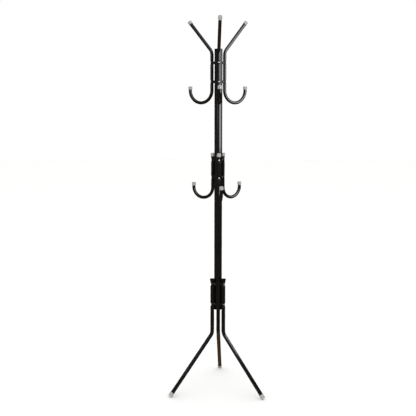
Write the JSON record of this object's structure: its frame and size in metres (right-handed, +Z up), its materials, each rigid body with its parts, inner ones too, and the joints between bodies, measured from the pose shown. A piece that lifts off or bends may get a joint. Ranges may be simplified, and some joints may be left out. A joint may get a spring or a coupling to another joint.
{
  "type": "standing coat rack",
  "caption": "Tall free-standing coat rack: black tube pole on splayed legs, with tiers of curved hooks and splayed horns that end in pale caps.",
  "frame": {"origin": "on the pole's axis, at floor level, between the three feet", "axes": "+Z up along the pole; the rear leg points along +Y and the rack's front faces -Y, so +X is to the right of someone facing the front"},
  "size_m": [0.4772, 0.4391, 1.8302],
  "materials": {
    "black_gloss_paint": "gloss black powder-coated steel tube",
    "pale_plastic_caps": "pale grey moulded plastic, slightly cloudy",
    "black_plastic": "black moulded plastic, satin",
    "zinc_plated_screws": "bright zinc-plated steel",
    "zinc_plated_nuts": "zinc-plated steel"
  },
  "bodies": {
    "base": {"foot_cap_left": "pale_plastic_caps", "foot_cap_rear": "pale_plastic_caps", "foot_cap_right": "pale_plastic_caps", "leg_left": "black_gloss_paint", "leg_rear": "black_gloss_paint", "leg_right": "black_gloss_paint", "leg_rivet_nuts": "zinc_plated_nuts", "leg_screws": "zinc_plated_screws", "leg_spacer_bottom_left": "black_plastic", "leg_spacer_bottom_rear": "black_plastic", "leg_spacer_bottom_right": "black_plastic", "leg_spacer_top_left": "black_plastic", "leg_spacer_top_rear": "black_plastic", "leg_spacer_top_right": "black_plastic", "pole_bottom_plug": "black_plastic", "pole_lower": "black_gloss_paint"},
    "upper_post": {"lower_arm_front": "black_gloss_paint", "lower_arm_left": "black_gloss_paint", "lower_arm_right": "black_gloss_paint", "lower_arm_rivet_nuts": "zinc_plated_nuts", "lower_arm_screws": "zinc_plated_screws", "lower_arm_spacer_bottom_front": "black_plastic", "lower_arm_spacer_bottom_left": "black_plastic", "lower_arm_spacer_bottom_right": "black_plastic", "lower_arm_spacer_top_front": "black_plastic", "lower_arm_spacer_top_left": "black_plastic", "lower_arm_spacer_top_right": "black_plastic", "lower_arm_tip_cap_front": "pale_plastic_caps", "lower_arm_tip_cap_left": "pale_plastic_caps", "lower_arm_tip_cap_right": "pale_plastic_caps", "lower_arm_top_cap_front": "pale_plastic_caps", "lower_arm_top_cap_left": "pale_plastic_caps", "lower_arm_top_cap_right": "pale_plastic_caps", "pole_top_plug": "black_plastic", "pole_upper": "black_gloss_paint", "upper_arm_front": "black_gloss_paint", "upper_arm_horn_cap_front": "pale_plastic_caps", "upper_arm_horn_cap_left": "pale_plastic_caps", "upper_arm_horn_cap_right": "pale_plastic_caps", "upper_arm_left": "black_gloss_paint", "upper_arm_right": "black_gloss_paint", "upper_arm_rivet_nuts": "zinc_plated_nuts", "upper_arm_screws": "zinc_plated_screws", "upper_arm_spacer_bottom_front": "black_plastic", "upper_arm_spacer_bottom_left": "black_plastic", "upper_arm_spacer_bottom_right": "black_plastic", "upper_arm_spacer_top_front": "black_plastic", "upper_arm_spacer_top_left": "black_plastic", "upper_arm_spacer_top_right": "black_plastic", "upper_arm_tip_cap_front": "pale_plastic_caps", "upper_arm_tip_cap_left": "pale_plastic_caps", "upper_arm_tip_cap_right": "pale_plastic_caps"}
  },
  "joints": [
    {"name": "pole_swivel", "type": "hinge", "parent": "base", "child": "upper_post", "pos_m": [0, 0, 0.947], "axis": [0, 0, 1], "continuous": true}
  ]
}
